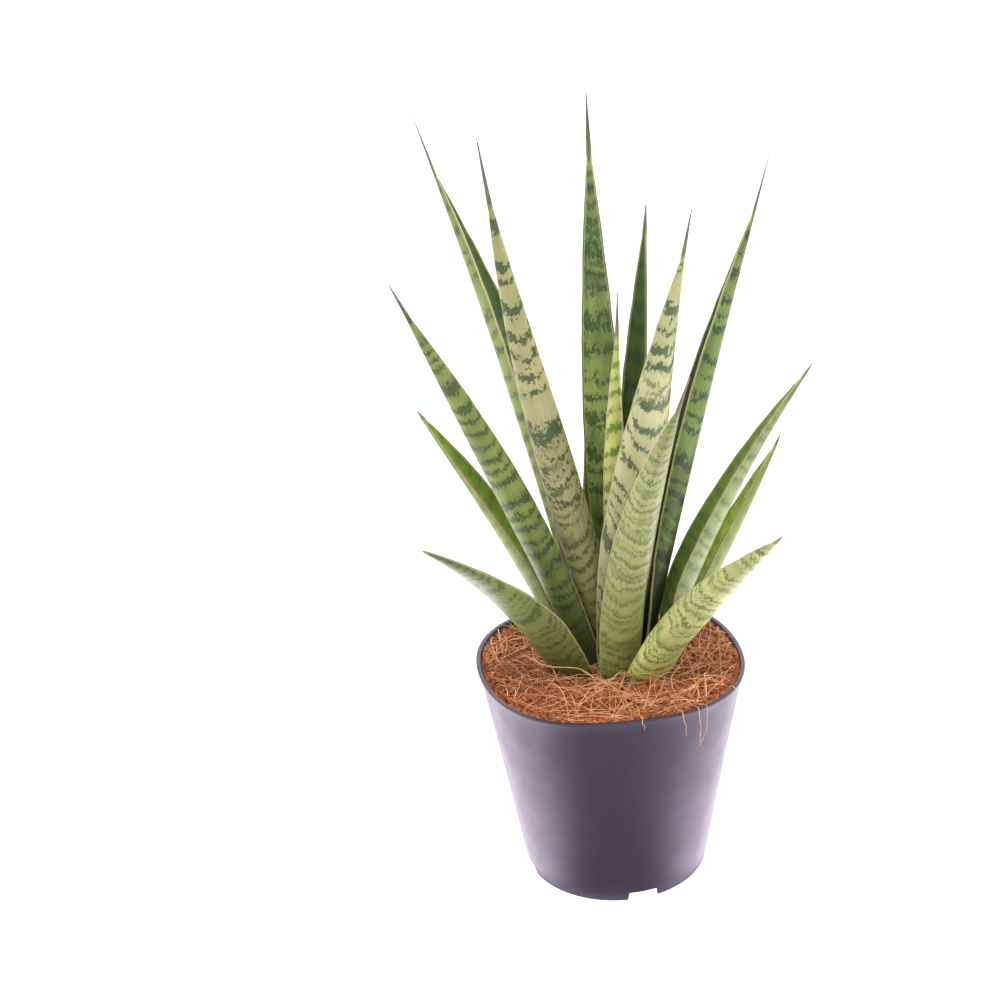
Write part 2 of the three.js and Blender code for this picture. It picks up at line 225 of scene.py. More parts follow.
def bladeWidth(leaf, distance):
    left = leaf["length"] - distance
    share = distance / leaf["length"]
    if share < leaf["widest"]:
        rise = math.sin(math.pi / 2 * max(share, 0) / leaf["widest"])
        return leaf["width"] * lerp(blade["soilWidthShare"], 1, rise)
    tapering = leaf["length"] * (1 - leaf["widest"]) - leaf["needle"]
    gone = 1 - clamp((left - leaf["needle"]) / tapering)
    shoulder = blade["shoulderWidth"] * smooth(left - leaf["needle"], 0, blade["shoulderLength"])
    width = leaf["width"] * (1 - gone ** blade["taperPower"]) + shoulder * gone ** 2
    return max(width, lerp(blade["needlePointWidth"], blade["needleWidth"], clamp(left / leaf["needle"])))


def channelAngle(leaf, share):  # half the angle of the channel, in radians
    soilRadius = max(leaf["seat"][0], blade["leastSoilRadius"])
    wrapped = math.degrees(leaf["width"] * blade["soilWidthShare"] / 2 / soilRadius)
    start = min(wrapped, blade["steepestChannel"])
    opened = lerp(start, leaf["fold"], smooth(share, 0, blade["openingShare"]))
    closing = clamp((share - blade["closingShare"]) / (1 - blade["closingShare"])) ** 2
    return math.radians(lerp(opened, blade["steepestChannel"], closing))


def leafPose(leaf, distance):
    share = max(distance, 0) / leaf["length"]
    heel = clamp(1 + distance / crown["heelDepth"])
    lean = heel * lerp(*leaf["lean"], share)
    bearing = leaf["bearing"][0] + share * leaf["bearing"][1]
    along = leaning(lean, bearing)
    roll = Matrix.Rotation(math.radians(lerp(*leaf["roll"], share)), 3, along)
    inward = roll @ -leaning(lean + 90, bearing)
    return along, inward, along.cross(inward)


def leafCentre(leaf, distance):
    point = polar(*leaf["seat"], crown["level"]) + Vector((crown["x"], crown["y"], 0))
    steps = max(1, math.ceil(abs(distance) / blade["centreStep"]))
    for i in range(steps):
        point += leafPose(leaf, distance * (i + 0.5) / steps)[0] * distance / steps
    return point


def leafSection(leaf, distance):
    share = max(distance, 0) / leaf["length"]
    width = bladeWidth(leaf, distance)
    half = channelAngle(leaf, share)
    radius = width / 2 / half
    full = blade["thickness"] * lerp(1, blade["tipThicknessShare"], share)
    slim = clamp(width / blade["fullThicknessWidth"], blade["leastThicknessShare"], 1)
    keel = min(max(full * slim, blade["leastThickness"]), blade["thicknessPerRadius"] * radius)
    return {"centre": leafCentre(leaf, distance), "pose": leafPose(leaf, distance), "width": width,
            "half": half, "radius": radius, "keel": keel, "distance": distance}


def makeLeaf(name, material, slot):
    leaf = leaves[name]
    seed = list(leaves).index(name) * blade["waveSeed"]
    rows = round((leaf["length"] + crown["heelDepth"]) / blade["rowLength"])
    sections = [leafSection(leaf, lerp(-crown["heelDepth"], leaf["length"], i / rows))
                for i in range(rows + 1)]
    bm = bmesh.new()
    bmesh.ops.create_grid(bm, x_segments=blade["around"], y_segments=rows, size=0.5)
    for key in leafMarks:
        bm.verts.layers.float.new(key)
    marks = [bm.verts.layers.float[key] for key in leafMarks]
    for vert in bm.verts:
        turn = 2 * math.pi * (vert.co.x + 0.5)
        section = sections[round((vert.co.y + 0.5) * rows)]
        _, inward, across = section["pose"]
        place = math.cos(turn)  # from -1 at one margin to 1 at the other
        side = math.sin(turn)  # above 0 on the outer face
        rim = clamp(abs(side) / blade["marginRounding"])
        keel = section["keel"] * math.sqrt(1 - blade["marginThinning"] * place ** 2)
        lift = math.copysign(keel / 2 * math.sqrt(1 - (1 - rim) ** 2), side)
        margin = math.copysign(3, place)  # so that the two margins wave apart
        wave = noise.noise(Vector((section["distance"] / blade["marginWaveLength"], seed, margin)))
        wave *= (blade["marginWave"] * place ** blade["marginWaveFocus"]
                 * clamp(section["width"] / blade["fullWaveWidth"]))
        angle = place * (section["half"] + wave / section["radius"])
        reach = section["radius"] + lift
        vert.co = (potAxis / mm + section["centre"] + across * reach * math.sin(angle)
                   + inward * (section["radius"] - reach * math.cos(angle))) * mm
        wide = section["width"] / 2
        measures = (place * wide, section["distance"], place ** 2 * wide, (1 - abs(place)) * wide,
                    0.5 - 0.5 * math.copysign(rim, side), leaf["length"] - section["distance"])
        for mark, measure in zip(marks, measures):
            vert[mark] = measure
    bmesh.ops.remove_doubles(bm, verts=bm.verts, dist=1e-7)
    bmesh.ops.holes_fill(bm, edges=[e for e in bm.edges if e.is_boundary], sides=0)
    bmesh.ops.recalc_face_normals(bm, faces=bm.faces)
    addPiece(name.replace("leaf", "blade", 1), bm, material, slot, [name])


# Leaf surface: low, skin and high colour the soil end, the middle and the tip end, inner the inner face, rim
# and margin the pale edge and its horny line, joint, needle and point the dry tip. On most leaves low is
# darker than skin, partly as painted shade deep in the rosette. half is a second middle colour and the side
# that it takes: painted light that makes one side of a folded channel lighter than the other.

commonLook = {
    "slot": "leaf_mid", "low": "#566232", "skin": "#7f8d50", "high": "#6f7a4e", "inner": "#4c5f2c",
    "margin": "#8a6a4c", "rim": "#a9a97c", "needle": "#5c5654", "point": "#5f5660", "joint": "#5c5740",
}

# Bands: spacing is in millimetres along the leaf. thick and steep set the band's share of it, ragged and
# patchy how far holes and clearings eat into it, soft its edge, dip its sag towards the margins, sweep and
# tear how far slow noise and fine strokes push it, reach the shares of the leaf's length between which it
# fades in, and halo a faint darkening about it.
commonBand = {
    "hex": "#384c2e", "spacing": 9, "thick": 0.5, "steep": 3.4, "ragged": 2.2, "patchy": 1.6, "soft": 0.14,
    "strength": 0.85, "halo": 0.25, "dip": 0.35, "tear": 10, "sweep": 12, "reach": (-2, -1),
}

leafLooks = {
    "leaf_left_back_tall": {
        "low": "#6f7d44", "skin": "#7d8c50", "high": "#69764c", "inner": "#465830", "margin": "#b59c80",
        "needle": "#4c5242",
        "bands": [{"spacing": 10, "thick": 0.45, "strength": 0.75, "hex": "#3c4e32"}]},
    # Its margin is painted pale cream, partly the horny line and partly a painted highlight along its lit
    # edge.
    "leaf_left_front_pale": {
        "slot": "leaf_pale", "low": "#686c32", "skin": "#9e9a70", "high": "#868a58", "inner": "#70764c",
        "margin": "#b0ac88", "point": "#54485c",
        "bands": [{"spacing": 12.5, "thick": 0.42, "ragged": 3.8, "patchy": 2.8, "tear": 9, "strength": 0.9,
                   "hex": "#33482a", "halo": 0.1, "reach": (0.2, 0.34)},
                  {"spacing": 7.2, "thick": 0.45, "ragged": 2.4, "dip": 1.3, "hex": "#41512a",
                   "halo": 0.2, "tear": 8, "reach": (0.5, 0.36)}]},
    "leaf_left_banded": {
        "low": "#3f4824", "skin": "#788445", "high": "#6f7c44", "inner": "#44582a", "margin": "#7c5a40",
        "bands": [{"spacing": 8, "patchy": 1.8, "soft": 0.22, "tear": 8, "hex": "#33452b", "halo": 0.35}]},
    "leaf_left_back_low": {
        "skin": "#8d9860", "inner": "#7a9430", "margin": "#8c6040", "point": "#9c5f4c",
        "bands": [{"strength": 0.45, "thick": 0.3}]},
    "leaf_left_front_low": {
        "low": "#666e36", "skin": "#6a7542", "high": "#56583a", "inner": "#566c2c", "margin": "#8f6448",
        "point": "#8c7264",
        "bands": [{"spacing": 6.2, "patchy": 1.8, "soft": 0.3, "tear": 7, "sweep": 16, "strength": 0.82,
                   "halo": 0.15, "hex": "#384e26", "dip": 0.5}]},
    # painted light: the soil end is painted much lighter than the middle where this leaf's foot lies in
    # shade, and half paints one side of its channel lighter, as on a lit fold
    "leaf_back_tallest": {
        "slot": "leaf_deep", "low": "#c0d080", "skin": "#6a753c", "high": "#566238", "inner": "#66763f",
        "half": ("#78884a", -1), "margin": "#5c5c40", "needle": "#4f5444",
        "bands": [{"spacing": 12, "ragged": 4.2, "patchy": 3.0, "tear": 6, "strength": 0.8,
                   "hex": "#34482c", "halo": 0.15},
                  {"spacing": 8, "thick": 0.6, "ragged": 3.0, "patchy": 2.4, "tear": 6, "strength": 0.65,
                   "hex": "#34442a", "halo": 0.2, "reach": (0.5, 0.75)}]},
    "leaf_centre_young": {
        "slot": "leaf_young", "low": "#a8b45c", "skin": "#d2d886", "high": "#a8b070", "inner": "#b8c070",
        "margin": "#c4c49c", "needle": "#6a6c58",
        "bands": [{"thick": 0.55, "ragged": 2.6, "patchy": 2.2, "strength": 0.8, "tear": 6,
                   "hex": "#5f7a2c", "dip": -0.5}]},
    "leaf_back_dark": {
        "slot": "leaf_deep", "skin": "#647d3e", "low": "#46562c", "high": "#54643c", "inner": "#405228",
        "margin": "#6c6048", "needle": "#66605e",
        "bands": [{"spacing": 12, "thick": 0.6, "strength": 0.7, "hex": "#2a3a20", "soft": 0.3}]},
    "leaf_front_wide": {
        "slot": "leaf_pale", "low": "#74794c", "skin": "#b2b286", "high": "#9a996a", "inner": "#7c8254",
        "margin": "#8f8c68", "point": "#5c5062",
        "bands": [{"spacing": 11, "thick": 0.4, "patchy": 1.8, "tear": 8, "hex": "#3c5036", "dip": 1.1,
                   "halo": 0.12, "reach": (0.75, 0.6)},
                  {"spacing": 13, "thick": 0.42, "ragged": 3.8, "patchy": 2.8, "tear": 8, "strength": 0.9,
                   "hex": "#3c5036", "halo": 0.1, "reach": (0.55, 0.66)}]},
    # painted shade: the soil end is painted near black and the second band is a broad dark band over the
    # lower part, where the neighbouring leaves shade it
    "leaf_right_tall": {
        "low": "#0e1207", "skin": "#63763a", "high": "#6c7a48", "inner": "#384824", "margin": "#a09a74",
        "bands": [{"spacing": 10, "ragged": 2.0, "strength": 0.88, "hex": "#2c3c26", "halo": 0.12},
                  {"spacing": 7, "thick": 1.3, "ragged": 1.2, "soft": 0.3, "strength": 0.7,
                   "hex": "#1c2414", "halo": 0.3, "reach": (0.46, 0.16)}]},
    "leaf_front_fine_banded": {
        "slot": "leaf_pale", "low": "#8c9450", "skin": "#969a66", "high": "#767a4c", "inner": "#7c864c",
        "margin": "#b0ae84", "needle": "#74583f", "point": "#a8745c",
        "bands": [{"spacing": 5, "thick": 0.42, "ragged": 1.9, "soft": 0.25, "tear": 7, "sweep": 16,
                   "strength": 0.7, "hex": "#4c6034", "dip": 0.4, "halo": 0.15},
                  {"thick": 0.35, "ragged": 2.4, "patchy": 2, "strength": 0.55, "hex": "#50683c"}]},
    "leaf_right_back_arching": {
        "slot": "leaf_deep", "low": "#5c6c40", "skin": "#8c9868", "high": "#6c7850", "inner": "#6c8434",
        "margin": "#70543c",
        "bands": [{"spacing": 8, "thick": 0.45, "soft": 0.4, "strength": 0.6, "hex": "#4a5c40", "tear": 6}]},
    # painted light: the inner face is painted pale yellow-green, much lighter than the outer skin, where it
    # lies in shade
    "leaf_right_back_short": {
        "skin": "#7f8c54", "inner": "#b8cc68", "margin": "#80603f", "needle": "#64463c",
        "bands": [{"strength": 0.4, "soft": 0.4, "hex": "#5c7040"}]},
    "leaf_right_front_low": {
        "slot": "leaf_pale", "low": "#c2ca7c", "skin": "#9a9e66", "high": "#8a8860", "inner": "#6c7c40",
        "margin": "#96704f", "point": "#94735f",
        "bands": [{"spacing": 5.2, "thick": 0.45, "ragged": 1.8, "patchy": 1.4, "soft": 0.2,
                   "hex": "#4f6a30", "tear": 7, "dip": 0.45, "sweep": 16},
                  {"spacing": 6.2, "thick": 0.26, "ragged": 1.8, "patchy": 1.8, "strength": 0.5,
                   "hex": "#b4b482", "halo": 0, "tear": 9, "dip": 0.4, "reach": (0.1, 0.3)}]},
    "leaf_back_mid": {"slot": "leaf_deep", "bands": [{}]},
    "leaf_back_low_curled": {
        "slot": "leaf_deep", "skin": "#7f8c5c", "margin": "#a0846c", "point": "#b8a890",
        "bands": [{"spacing": 3.4, "thick": 0.4, "soft": 0.3, "ragged": 1.2, "strength": 0.5,
                   "hex": "#5c7040"}]},
}

# Noise patterns over a leaf: the grain's size across, along and between faces in millimetres, and its detail
leafGrains = {
    "strokes": ((0.9, 3.0, 1), 3), "sweep": ((12, 28, 1), 1), "holes": ((1.3, 2.4, 1), 3),
    "patches": ((8, 6, 1), 2), "cloud": ((15, 40, 1), 2), "fibres": ((0.55, 60, 1), 2),
    "gloss": ((4, 12, 1), 3), "chips": ((3, 5, 1), 3), "scars": ((1.6, 2.4, 1), 4),
    "pores": ((0.35, 0.8, 1), 1),
}

# What all leaves' skins share, in millimetres and shares. The seeds keep leaves, faces, grains and bands
# from being marked alike.
skinLook = {
    "leafSeed": 11.7, "faceSeed": 9.0, "grainShift": (0, 0, 3.1), "rungSeed": 31, "bandSeed": 57,
    "middleFrom": 4, "middleFull": 0.38, "highFrom": 0.6, "highFull": 0.95, "fibreShades": (0.9, 1.08),
    "driftRate": 0.4, "drift": 1.6, "thickSpread": 0.7, "thickLeast": 0.65, "haloReach": (0.45, 0.05),
    "slimReach": 30, "slimming": 0.45, "chipDepth": 0.9, "soilAndShadeRagged": 9, "poreDepth": 0.3,
    # the dark brown at each leaf's foot is dirt from the coir and painted shade where the leaf enters it
    "soilAndShade": "#3a2c1a", "scars": "#6b4a34", "roughness": (0.36, 0.46),
}


def bandMask(tree, marks, grain, band, start, full):
    # rungs along the leaf, sagging across it, swept by slow noise and torn by fine strokes
    rung = addNode(tree, "Math", {0: marks["along"], 1: start}, operation="ADD")
    for source, amount in ((marks["sag"], -band["dip"]), (grain["sweep"], band["sweep"]),
                           (grain["strokes"], band["tear"])):
        rung = addNode(tree, "Math", {0: source, 1: amount, 2: rung}, operation="MULTIPLY_ADD")
    drift = addNode(tree, "TexNoise", {"W": rung, "Scale": skinLook["driftRate"] / band["spacing"],
                                       "Detail": 0}, noise_dimensions="1D")
    phase = addNode(tree, "Math", {0: rung, 1: 1 / band["spacing"]}, operation="MULTIPLY")
    phase = addNode(tree, "Math", {0: drift, 1: skinLook["drift"], 2: phase}, operation="MULTIPLY_ADD")

    # each rung has its own thickness, and holes and clearings eat into it
    number = addNode(tree, "Math", {0: phase}, operation="FLOOR")
    chance = addNode(tree, "TexWhiteNoise", {"W": number}, noise_dimensions="1D")
    thick = addNode(tree, "Math", {0: chance, 1: band["thick"] * skinLook["thickSpread"],
                                   2: band["thick"] * skinLook["thickLeast"]}, operation="MULTIPLY_ADD")
    away = addNode(tree, "Math", {0: phase}, operation="FRACT")
    away = addNode(tree, "Math", {0: away, 1: 0.5}, operation="SUBTRACT")
    away = addNode(tree, "Math", {0: away}, operation="ABSOLUTE")  # how far from the rung's middle
    field = addNode(tree, "Math", {0: away, 1: -band["steep"], 2: thick}, operation="MULTIPLY_ADD")
    for source, amount in ((grain["holes"], band["ragged"]), (grain["patches"], band["patchy"])):
        field = addNode(tree, "Math", {0: source, 1: amount, 2: field}, operation="MULTIPLY_ADD")
    middle = (band["ragged"] + band["patchy"]) / 2
    mask = addNode(tree, "MapRange", {
        "Value": field, "From Min": middle - band["soft"], "From Max": middle + band["soft"],
        "To Max": band["strength"]}, interpolation_type="SMOOTHSTEP")
    halo = addNode(tree, "MapRange", {
        "Value": away, "From Min": skinLook["haloReach"][0], "From Max": skinLook["haloReach"][1],
        "To Max": band["halo"]}, interpolation_type="SMOOTHSTEP")
    mask = addNode(tree, "Math", {0: mask, 1: halo}, operation="MAXIMUM")
    reach = addNode(tree, "MapRange", {"Value": marks["along"], "From Min": full * band["reach"][0],
                                       "From Max": full * band["reach"][1]})
    return addNode(tree, "Math", {0: mask, 1: reach}, operation="MULTIPLY")


def leafMaterial(name):
    # Living snake plant skin under a wax bloom: a pale green skin with jagged darker bands made of short
    # lengthwise strokes, a thin horny margin, and a dry purple-brown needle. The fibres and pores are finer
    # in life and are drawn at 0.55 and 0.35 mm to show.
    leaf = leaves[name]
    look = {**commonLook, **leafLooks[name]}
    full = leaf["length"]
    seed = skinLook["leafSeed"] * (1 + list(leaves).index(name))
    material, tree = newMaterial("waxySnakePlantSkin_" + name)
    marks = {key: addNode(tree, "Attribute", attribute_name=key).outputs["Fac"] for key in leafMarks}
    face = addNode(tree, "Math", {0: marks["inner"], 1: skinLook["faceSeed"], 2: seed},
                   operation="MULTIPLY_ADD")
    surface = addNode(tree, "CombineXYZ", {0: marks["across"], 1: marks["along"], 2: face})
    grain = addGrains(tree, surface, leafGrains, unit=1, shift=skinLook["grainShift"])  # marks are in mm

    # skin: soil end, middle and tip end, then the deeper inner face, slow clouds and faint fibres
    layers = [(marks["along"], skinLook["middleFrom"], full * skinLook["middleFull"], 1.0, look["skin"])]
    # painted light: the half colour makes one side of the channel lighter than the other, as on a lit fold
    if "half" in look:
        litHalfHex, side = look["half"]
        layers.append((marks["across"], -0.8 * side, 1.2 * side, 0.9, litHalfHex))
    layers += [
        (marks["along"], full * skinLook["highFrom"], full * skinLook["highFull"], 1.0, look["high"]),
        (marks["inner"], 0.3, 0.7, 1.0, look["inner"]),
        (grain["cloud"], 0.38, 0.66, 0.35, look["low"]),
    ]
    skin = paintOver(tree, colour(look["low"]), layers)
    darkest, palest = skinLook["fibreShades"]
    fibres = addNode(tree, "MapRange", {"Value": grain["fibres"], "From Min": 0.3, "From Max": 0.7,
                                        "To Min": darkest, "To Max": palest})
    skin = addNode(tree, "Mix", {0: 1.0, 6: skin, 7: fibres}, data_type="RGBA", blend_type="MULTIPLY")

    for i, bandLook in enumerate(look["bands"]):
        band = {**commonBand, **bandLook}
        start = seed * skinLook["rungSeed"] + i * skinLook["bandSeed"]
        mask = bandMask(tree, marks, grain, band, start, full)
        skin = addNode(tree, "Mix", {0: mask, 6: skin, 7: colour(band["hex"])}, data_type="RGBA")

    # dirt and painted shade at the foot, then a pale edge with the horny line outside it, thinner near the
    # tip, the dry needle and scars
    needle = leaf["needle"]
    slim = addNode(tree, "MapRange", {"Value": marks["tip"], "From Min": needle + skinLook["slimReach"],
                                      "From Max": needle, "To Max": skinLook["slimming"]})
    chipped = addNode(tree, "Math", {0: grain["chips"], 1: skinLook["chipDepth"], 2: marks["edge"]},
                      operation="MULTIPLY_ADD")
    chipped = addNode(tree, "Math", {0: chipped, 1: slim}, operation="ADD")
    soilAndShadeReach = addNode(tree, "Math", {0: grain["chips"], 1: skinLook["soilAndShadeRagged"], 2: marks["along"]},
                     operation="MULTIPLY_ADD")
    skin = paintOver(tree, skin, [
        (soilAndShadeReach, 9, 3, 0.75, skinLook["soilAndShade"]),
        (chipped, 1.3, 0.95, 0.5, look["rim"]),
        (chipped, 0.78, 0.55, 0.85, look["margin"]),
        (marks["tip"], needle + 3, needle - 2, 0.7, look["joint"]),
        (marks["tip"], needle, needle * 0.5, 1.0, look["needle"]),
        (marks["tip"], 5, 2, 1.0, look["point"]),
        (grain["scars"], 0.74, 0.79, 0.7, skinLook["scars"]),
    ])

    smoothest, roughest = skinLook["roughness"]
    gloss = addNode(tree, "MapRange", {"Value": grain["gloss"], "From Min": 0.3, "From Max": 0.7,
                                       "To Min": smoothest, "To Max": roughest})
    relief = addNode(tree, "Math", {0: grain["pores"], 1: skinLook["poreDepth"], 2: grain["fibres"]},
                     operation="MULTIPLY_ADD")
    bump = addNode(tree, "Bump", {"Strength": 0.4, "Distance": 0.25 * mm, "Height": relief})
    shader = addNode(tree, "BsdfPrincipled", {
        "Base Color": skin, "Roughness": gloss, "Normal": bump, "IOR": 1.45,
        "Specular IOR Level": 0.16, "Coat Weight": 0.08, "Coat Roughness": 0.3})
    addNode(tree, "OutputMaterial", {"Surface": shader})
    return material


for leafName in leaves:
    leafSlot = leafLooks[leafName].get("slot", commonLook["slot"])
    makeLeaf(leafName, leafMaterial(leafName), leafSlot)
print("leaves made")


# Pot: the thin moulded shell, turned from its outline and squeezed at the rim as in the model

pot = {
    "rimRadius": 60, "footRadius": 43.3, "height": 107, "wall": 1.2,
    "lipHeight": 2.2, "lipProud": 0.8, "lipSlope": 0.3,
    "footBand": 8, "footStep": 0.5, "footSlope": 1.6, "floorHeight": 5, "floorThickness": 1.4,
    "oval": 0.049, "corner": 0.029, "cornerAzimuth": 56,
    "sides": 224, "outerRows": (18, 36, 54, 72, 90), "innerRows": (96, 80, 60, 40, 20),
    "rounding": 0.35, "roundingRows": 3, "roundedFrom": 25, "creasedFrom": 40,
}

drain = {
    "count": 4, "firstAzimuth": 16, "notchWidth": 15, "notchTopWidth": 13.5, "notchHeight": 4.5,
    "notchBelow": 1, "notchDepth": 12, "holeRadius": 4, "holeDistance": 31, "holeDepth": 8, "holeSides": 32,
}


def wallRadius(height):
    return lerp(pot["footRadius"], pot["rimRadius"], height / pot["height"])


def squeezed(point):  # round at the foot, oval with four soft corners at the rim
    azimuth = math.atan2(point.y, point.x)
    corner = pot["corner"] * math.cos(4 * (azimuth - math.radians(pot["cornerAzimuth"])))
    scale = 1 + point.z / pot["height"] * (pot["oval"] * math.cos(2 * azimuth) + corner)
    return Vector((point.x * scale, point.y * scale, point.z))


def turnOutline(outline, sides):  # spins a chain of points round the pot's axis, in millimetres
    bm = bmesh.new()
    chain = [bm.verts.new((radius, 0, height)) for radius, height in outline]
    edges = [bm.edges.new(pair) for pair in zip(chain, chain[1:])]
    bmesh.ops.spin(bm, geom=chain + edges, cent=(0, 0, 0), axis=(0, 0, 1), angle=2 * math.pi,
                   steps=sides, use_merge=True, use_duplicate=False)
    bmesh.ops.remove_doubles(bm, verts=bm.verts, dist=1e-4)
    bmesh.ops.recalc_face_normals(bm, faces=bm.faces)
    return bm


def cutAway(piece, cutters):  # cuts the cutters out of a piece for good
    for cutter in cutters:
        modifier = piece.modifiers.new("cut", "BOOLEAN")
        modifier.operation = "DIFFERENCE"
        modifier.solver = "EXACT"
        modifier.object = cutter
    whole = piece.data
    piece.data = finalMesh(piece)
    piece.modifiers.clear()
    bpy.data.meshes.remove(whole)
    for cutter in cutters:
        bpy.data.objects.remove(cutter)


def potCutters():
    cutters = []
    for i in range(drain["count"]):
        azimuth = drain["firstAzimuth"] + i * 360 / drain["count"]
        turn = Matrix.Rotation(math.radians(azimuth), 4, "Z")
        bar = bmesh.new()
        bmesh.ops.create_cube(bar, size=1)
        for vert in bar.verts:
            width = drain["notchTopWidth"] if vert.co.z > 0 else drain["notchWidth"]
            height = drain["notchHeight"] if vert.co.z > 0 else -drain["notchBelow"]
            outward = pot["footRadius"] + vert.co.x * drain["notchDepth"]
            vert.co = inScene(turn @ Vector((outward, vert.co.y * width, height)))
        cutters.append(addObject("cutter", meshFrom("cutter", bar)))
        pin = bmesh.new()
        bmesh.ops.create_cone(pin, cap_ends=True, segments=drain["holeSides"], radius1=drain["holeRadius"],
                              radius2=drain["holeRadius"], depth=drain["holeDepth"])
        centre = polar(drain["holeDistance"], azimuth, pot["floorHeight"])
        for vert in pin.verts:
            vert.co = inScene(vert.co + centre)
        cutters.append(addObject("cutter", meshFrom("cutter", pin)))
    return cutters


def makePot(material):
    floorTop = pot["floorHeight"] + pot["floorThickness"]
    lipBase = pot["height"] - pot["lipHeight"]
    foot = wallRadius(0) - pot["footStep"]
    bm = turnOutline([
        (0, pot["floorHeight"]),
        (wallRadius(pot["floorHeight"]) - pot["footStep"] - pot["wall"], pot["floorHeight"]),
        (foot - pot["wall"], 0),
        (foot, 0),
        (wallRadius(pot["footBand"]) - pot["footStep"], pot["footBand"] - pot["footSlope"]),
        (wallRadius(pot["footBand"]), pot["footBand"]),
        *[(wallRadius(height), height) for height in pot["outerRows"]],
        (wallRadius(lipBase), lipBase),
        (wallRadius(lipBase) + pot["lipProud"], lipBase + pot["lipSlope"]),
        (pot["rimRadius"] + pot["lipProud"], pot["height"]),
        (pot["rimRadius"] - pot["wall"], pot["height"]),
        *[(wallRadius(height) - pot["wall"], height) for height in pot["innerRows"]],
        (wallRadius(floorTop) - pot["footStep"] - pot["wall"], floorTop),
        (0, floorTop),
    ], pot["sides"])
    roundedFrom = math.radians(pot["roundedFrom"])
    sharp = [e for e in bm.edges if len(e.link_faces) == 2 and e.calc_face_angle() > roundedFrom]
    bmesh.ops.bevel(bm, geom=sharp, offset=pot["rounding"], affect="EDGES", segments=pot["roundingRows"],
                    profile=0.5, material=-1, clamp_overlap=True)
    for vert in bm.verts:
        vert.co = inScene(squeezed(vert.co))
    piece = addPiece("nurseryPot", bm, material, "pot", ["pot"])
    cutAway(piece, potCutters())
    piece.data.set_sharp_from_angle(angle=math.radians(pot["creasedFrom"]))


potLook = {
    "body": "#0f0c1e", "bodyPale": "#131022", "dust": "#5c5262", "specks": "#8a6a58", "rimTint": "#3c3a48",
    "rimFrom": 100, "rimFull": 105, "gleam": "#f4e6fa", "roughness": (0.44, 0.52), "grainShift": (3.7, 0, 0),
}

# Noise patterns over the pot: the grain's size each way in millimetres, and its detail
potGrains = {
    "cloud": ((45, 45, 45), 3), "dust": ((9, 9, 18), 5), "gloss": ((14, 14, 14), 4),
    "specks": ((1.3, 1.3, 1.3), 2), "spark": ((0.5, 0.5, 0.5), 2),
}


def potMaterial():
    # Injection-moulded polypropylene, coloured a deep slate: satin, with the mould's fine spark texture,
    # thin clouds of dust, a few specks of coir and a greyer rim. The spark texture is really about 0.1 mm
    # and is drawn at 0.5 mm to show.
    material, tree = newMaterial("mouldedSlatePolypropylene")
    place = addNode(tree, "TexCoord").outputs["Object"]
    grain = addGrains(tree, place, potGrains, shift=potLook["grainShift"])
    height = addNode(tree, "SeparateXYZ", {0: place}).outputs["Z"]
    body = paintOver(tree, colour(potLook["body"]), [
        (grain["cloud"], 0.35, 0.65, 1.0, potLook["bodyPale"]),
        (grain["dust"], 0.5, 0.8, 0.06, potLook["dust"]),
        (grain["specks"], 0.77, 0.8, 0.5, potLook["specks"]),
        (height, potLook["rimFrom"] * mm, potLook["rimFull"] * mm, 0.3, potLook["rimTint"]),
    ])
    smoothest, roughest = potLook["roughness"]
    gloss = addNode(tree, "MapRange", {"Value": grain["gloss"], "From Min": 0.3, "From Max": 0.7,
                                       "To Min": smoothest, "To Max": roughest})
    bump = addNode(tree, "Bump", {"Strength": 0.1, "Distance": 0.1 * mm, "Height": grain["spark"]})
    shader = addNode(tree, "BsdfPrincipled", {
        "Base Color": body, "Roughness": gloss, "IOR": 1.5, "Specular IOR Level": 0.54,
        "Specular Tint": colour(potLook["gleam"]), "Normal": bump})
    addNode(tree, "OutputMaterial", {"Surface": shader})
    return material


makePot(potMaterial())
print("pot made")


# Coir: a lumpy plug with crumbs and loose curly fibres scattered on it, fewest about bareSpot

coir = {
    "level": 99.8, "frontRise": 0.8, "wallRise": 6.6, "lump": 0.7, "lumpLength": 9, "wallGap": 0.2,
    "middle": 50, "rings": 92, "sides": 300, "mostHeight": 106.3, "crownClear": 11, "crownMargin": 4,
    "crumbRelief": 2.2, "crumbScales": ((8.0, 0.9), (3.4, 0.8), (1.7, 0.55)),
    "bareSpot": (-14, -48), "bareReach": (10, 46), "bareShare": 0.3, "seed": 5,
}

crumb = {
    "count": 3600, "sizes": (0.5, 0.7, 0.9, 1.2, 1.7), "sizeSpread": (0.7, 1.15), "reach": 0.97,
    "widths": (0.55, 1), "depths": (0.35, 0.8), "ragged": 0.35, "raised": 0.2, "mostTilt": 3,
}

# Loose fibres: how many, their radius, length, greatest lift off the coir and curl
fibreSets = {
    "coirFibresPale": {"count": 480, "thickness": (0.12, 0.23), "length": (16, 56), "lift": 6.5,
                       "curl": 0.035, "hex": "#dea476"},
    "coirFibresRusty": {"count": 800, "thickness": (0.1, 0.18), "length": (6, 24), "lift": 2.6,
                        "curl": 0.1, "hex": "#b06a3e"},
}

# How loose fibres lie: how far they follow the crumbs, their height over them, and their bends
lay = {
    "reach": 0.98, "steps": 14, "follow": 0.4, "above": 0.7, "ripple": 0.3, "ripples": 9, "wander": 0.04,
    "wallClear": 0.3, "tipShare": 0.4,
}

